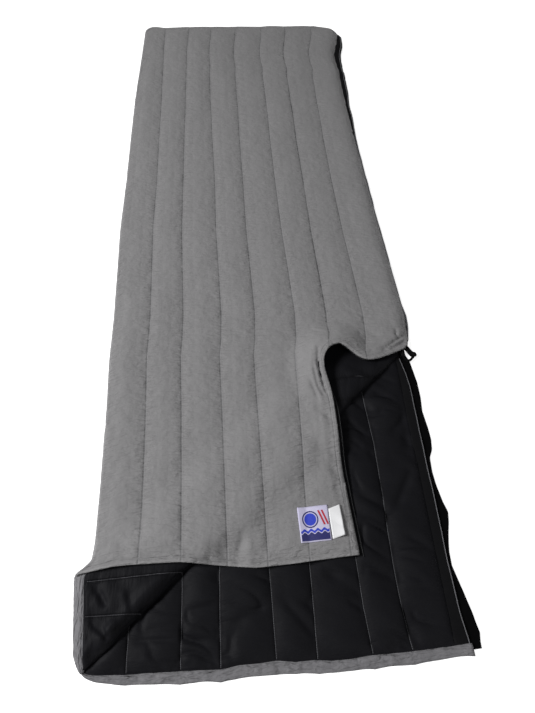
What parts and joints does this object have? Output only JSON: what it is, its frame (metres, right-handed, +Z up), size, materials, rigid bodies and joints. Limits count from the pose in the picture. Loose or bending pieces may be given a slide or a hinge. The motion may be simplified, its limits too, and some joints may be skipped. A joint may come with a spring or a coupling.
{
  "type": "quilted poncho liner folded lengthwise with a side zip",
  "caption": "Quilted grey liner with black lining, folded lengthwise and laid flat, its zip part open and one near corner tucked in.",
  "frame": {"origin": "middle of the liner's box, on the surface it lies on", "axes": "+X across the folded liner from its fold to its zip, +Y along it from the open near end to the far end, +Z up"},
  "size_m": [0.8316, 2.264, 0.0608],
  "materials": {
    "quilted_shell": "matt grey woven nylon, quilted",
    "zip_tape": "black herringbone tape",
    "zip_coil": "nylon coil",
    "lining": "matt black woven nylon",
    "slider": "black enamel",
    "pull_cord": "black cord",
    "patch": "satin printed label",
    "care_label": "white satin label"
  },
  "bodies": {
    "root": {"quilt": "quilted_shell", "zip_tape_below": "zip_tape", "zip_coil_below": "zip_coil", "zip_tape_above": "zip_tape", "zip_coil_above": "zip_coil", "zip_closed": "zip_tape", "draft_flap": "lining", "zip_slider": "slider", "zip_pull": "pull_cord", "label_patch": "patch", "care_label": "care_label"}
  },
  "joints": []
}
